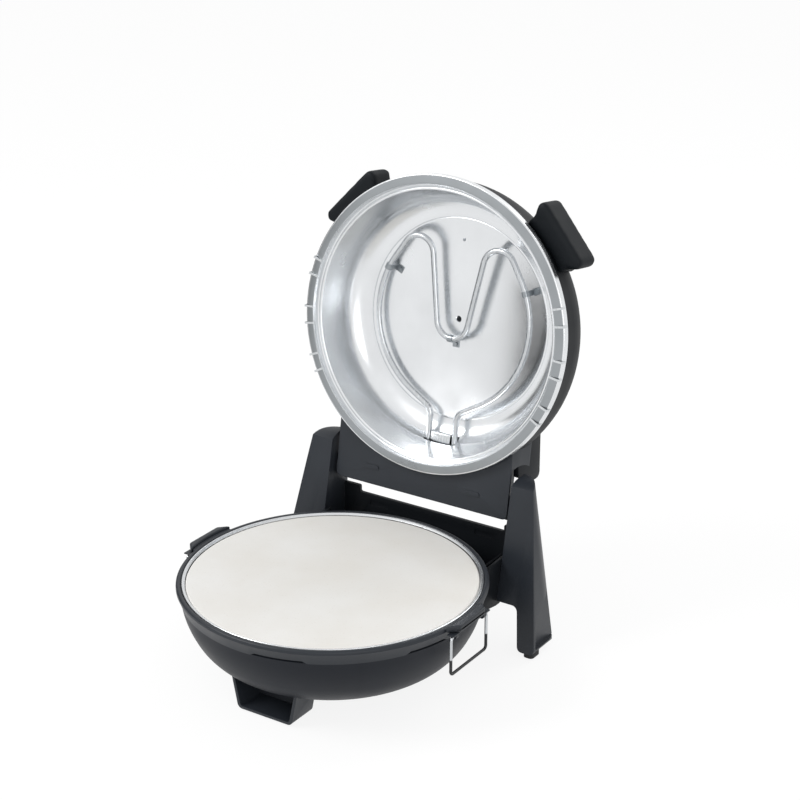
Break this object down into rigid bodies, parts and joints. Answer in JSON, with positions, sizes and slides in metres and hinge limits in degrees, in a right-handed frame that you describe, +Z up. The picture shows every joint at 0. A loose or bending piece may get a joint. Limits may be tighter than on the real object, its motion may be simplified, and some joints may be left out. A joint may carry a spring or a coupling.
{
  "type": "electric pizza maker",
  "caption": "Countertop pizza maker: round base with baking stone, hinged domed lid with heating tube, rear legs, front foot and wire bails.",
  "frame": {"origin": "middle of the bounding box at worktop level, with the lid standing open", "axes": "+Z up, +Y towards the hinge side, +X to the right seen from the front"},
  "size_m": [0.347, 0.4525, 0.4971],
  "materials": {
    "body_plastic": "fine satin texture, moulded",
    "dark_plastic": "matt, moulded",
    "dish_steel": "spun and polished sheet",
    "tube_steel": "drawn tube, satin",
    "bracket_steel": "bright pressed sheet",
    "screw_steel": "zinc plated",
    "bail_wire": "plated wire",
    "baking_stone": "unglazed, fine grain",
    "pad_rubber": "moulded, matt"
  },
  "bodies": {
    "base": {"base_shell": "body_plastic", "base_rim": "body_plastic", "base_liner": "dish_steel", "base_heater": "tube_steel", "base_heater_clips": "bracket_steel", "base_heater_plate": "bracket_steel", "bottom_cover": "dark_plastic", "cover_screws": "screw_steel", "front_foot": "body_plastic", "front_foot_pads": "pad_rubber", "rear_frame": "dark_plastic", "arm_left": "body_plastic", "arm_right": "body_plastic", "leg_pad_left": "pad_rubber", "leg_pad_right": "pad_rubber", "hinge_pins": "screw_steel", "frame_screws": "screw_steel", "bail_hanger_left": "body_plastic", "bail_hanger_right": "body_plastic", "cord_gland": "pad_rubber", "limit_thermostat": "bracket_steel"},
    "stone": {"pizza_stone": "baking_stone"},
    "bail_left": {"bail_left": "bail_wire"},
    "bail_right": {"bail_right": "bail_wire"},
    "lid": {"lid_shell": "body_plastic", "lid_rim_ring": "dark_plastic", "lid_liner": "dish_steel", "liner_clips": "bracket_steel", "lid_heater": "tube_steel", "lid_heater_clips": "bracket_steel", "lid_heater_plate": "bracket_steel", "lid_thermostat": "dark_plastic", "hinge_housing": "body_plastic", "housing_screws": "screw_steel", "lid_grip_left": "dark_plastic", "lid_grip_right": "dark_plastic", "grip_screws": "screw_steel"}
  },
  "joints": [
    {"name": "lid_hinge", "type": "hinge", "parent": "base", "child": "lid", "pos_m": [0, 0.12673, 0.1435], "axis": [1, 0, 0], "range_deg": [0, 99]},
    {"name": "bail_left_swing", "type": "hinge", "parent": "base", "child": "bail_left", "pos_m": [-0.1685, -0.06127, 0.1025], "axis": [0, 1, 0], "range_deg": [0, 95]},
    {"name": "bail_right_swing", "type": "hinge", "parent": "base", "child": "bail_right", "pos_m": [0.1685, -0.06127, 0.1025], "axis": [0, -1, 0], "range_deg": [0, 95]},
    {"name": "stone_lift", "type": "slide", "parent": "base", "child": "stone", "axis": [0, 0, 1], "range_m": [0, 0.002]}
  ]
}
